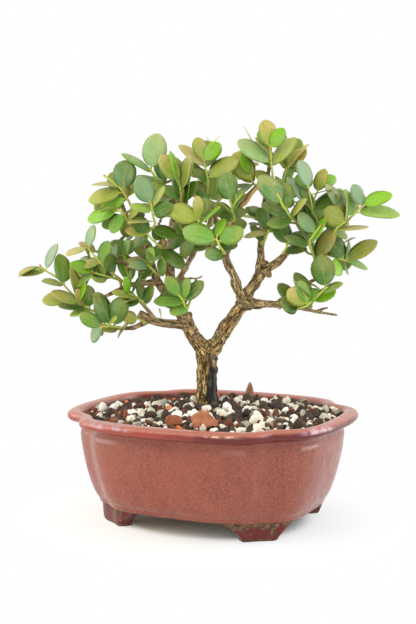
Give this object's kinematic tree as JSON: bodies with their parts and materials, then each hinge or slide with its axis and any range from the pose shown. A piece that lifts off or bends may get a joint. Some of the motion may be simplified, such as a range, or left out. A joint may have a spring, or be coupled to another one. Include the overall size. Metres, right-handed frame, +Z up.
{
  "type": "potted natal plum bonsai",
  "caption": "Small natal plum bonsai tree with glossy oval leaves, rooted in gravelly soil in a brick-red glazed four-lobed footed bowl.",
  "frame": {"origin": "centre of the bounding box in plan, at the plane of the foot soles", "axes": "+Z up; -Y faces the bowl's broad front; +X along the bowl's length"},
  "size_m": [0.225, 0.166, 0.2599],
  "materials": {
    "brick_glaze": "glossy mottled brick-red ceramic glaze",
    "gritty_soil": "dull gritty mix of pumice, lava and bark",
    "bark": "rough flaking bark",
    "leaf_green": "waxy semi-gloss leaf",
    "fired_clay": "dull broken terracotta"
  },
  "bodies": {
    "root": {"bark_chip": "fired_clay", "leafy_shoot_01": "leaf_green", "leafy_shoot_02": "leaf_green", "leafy_shoot_03": "leaf_green", "leafy_shoot_04": "leaf_green", "leafy_shoot_05": "leaf_green", "leafy_shoot_06": "leaf_green", "leafy_shoot_07": "leaf_green", "leafy_shoot_08": "leaf_green", "leafy_shoot_09": "leaf_green", "leafy_shoot_10": "leaf_green", "leafy_shoot_11": "leaf_green", "leafy_shoot_12": "leaf_green", "leafy_shoot_13": "leaf_green", "leafy_shoot_14": "leaf_green", "leafy_shoot_15": "leaf_green", "leafy_shoot_16": "leaf_green", "leafy_shoot_17": "leaf_green", "leafy_shoot_18": "leaf_green", "leafy_shoot_19": "leaf_green", "leafy_shoot_20": "leaf_green", "leafy_shoot_21": "leaf_green", "leafy_shoot_22": "leaf_green", "leafy_shoot_23": "leaf_green", "leafy_shoot_24": "leaf_green", "leafy_shoot_25": "leaf_green", "leafy_shoot_26": "leaf_green", "leafy_shoot_27": "leaf_green", "leafy_shoot_28": "leaf_green", "leafy_shoot_29": "leaf_green", "leafy_shoot_30": "leaf_green", "leafy_shoot_31": "leaf_green", "leafy_shoot_32": "leaf_green", "leafy_shoot_33": "leaf_green", "leafy_shoot_34": "leaf_green", "leafy_shoot_35": "leaf_green", "leafy_shoot_36": "leaf_green", "leafy_shoot_37": "leaf_green", "leafy_shoot_38": "leaf_green", "leafy_shoot_39": "leaf_green", "leafy_shoot_40": "leaf_green", "leafy_shoot_41": "leaf_green", "leafy_shoot_42": "leaf_green", "leafy_shoot_43": "leaf_green", "leafy_shoot_44": "leaf_green", "leafy_shoot_45": "leaf_green", "leafy_shoot_46": "leaf_green", "leafy_shoot_47": "leaf_green", "leafy_shoot_48": "leaf_green", "leafy_shoot_49": "leaf_green", "leafy_shoot_50": "leaf_green", "leafy_shoot_51": "leaf_green", "pot": "brick_glaze", "red_chip": "fired_clay", "small_shard": "fired_clay", "soil": "gritty_soil", "terracotta_shard": "fired_clay", "trunk_and_branches": "bark", "upright_shard": "fired_clay"}
  },
  "joints": []
}
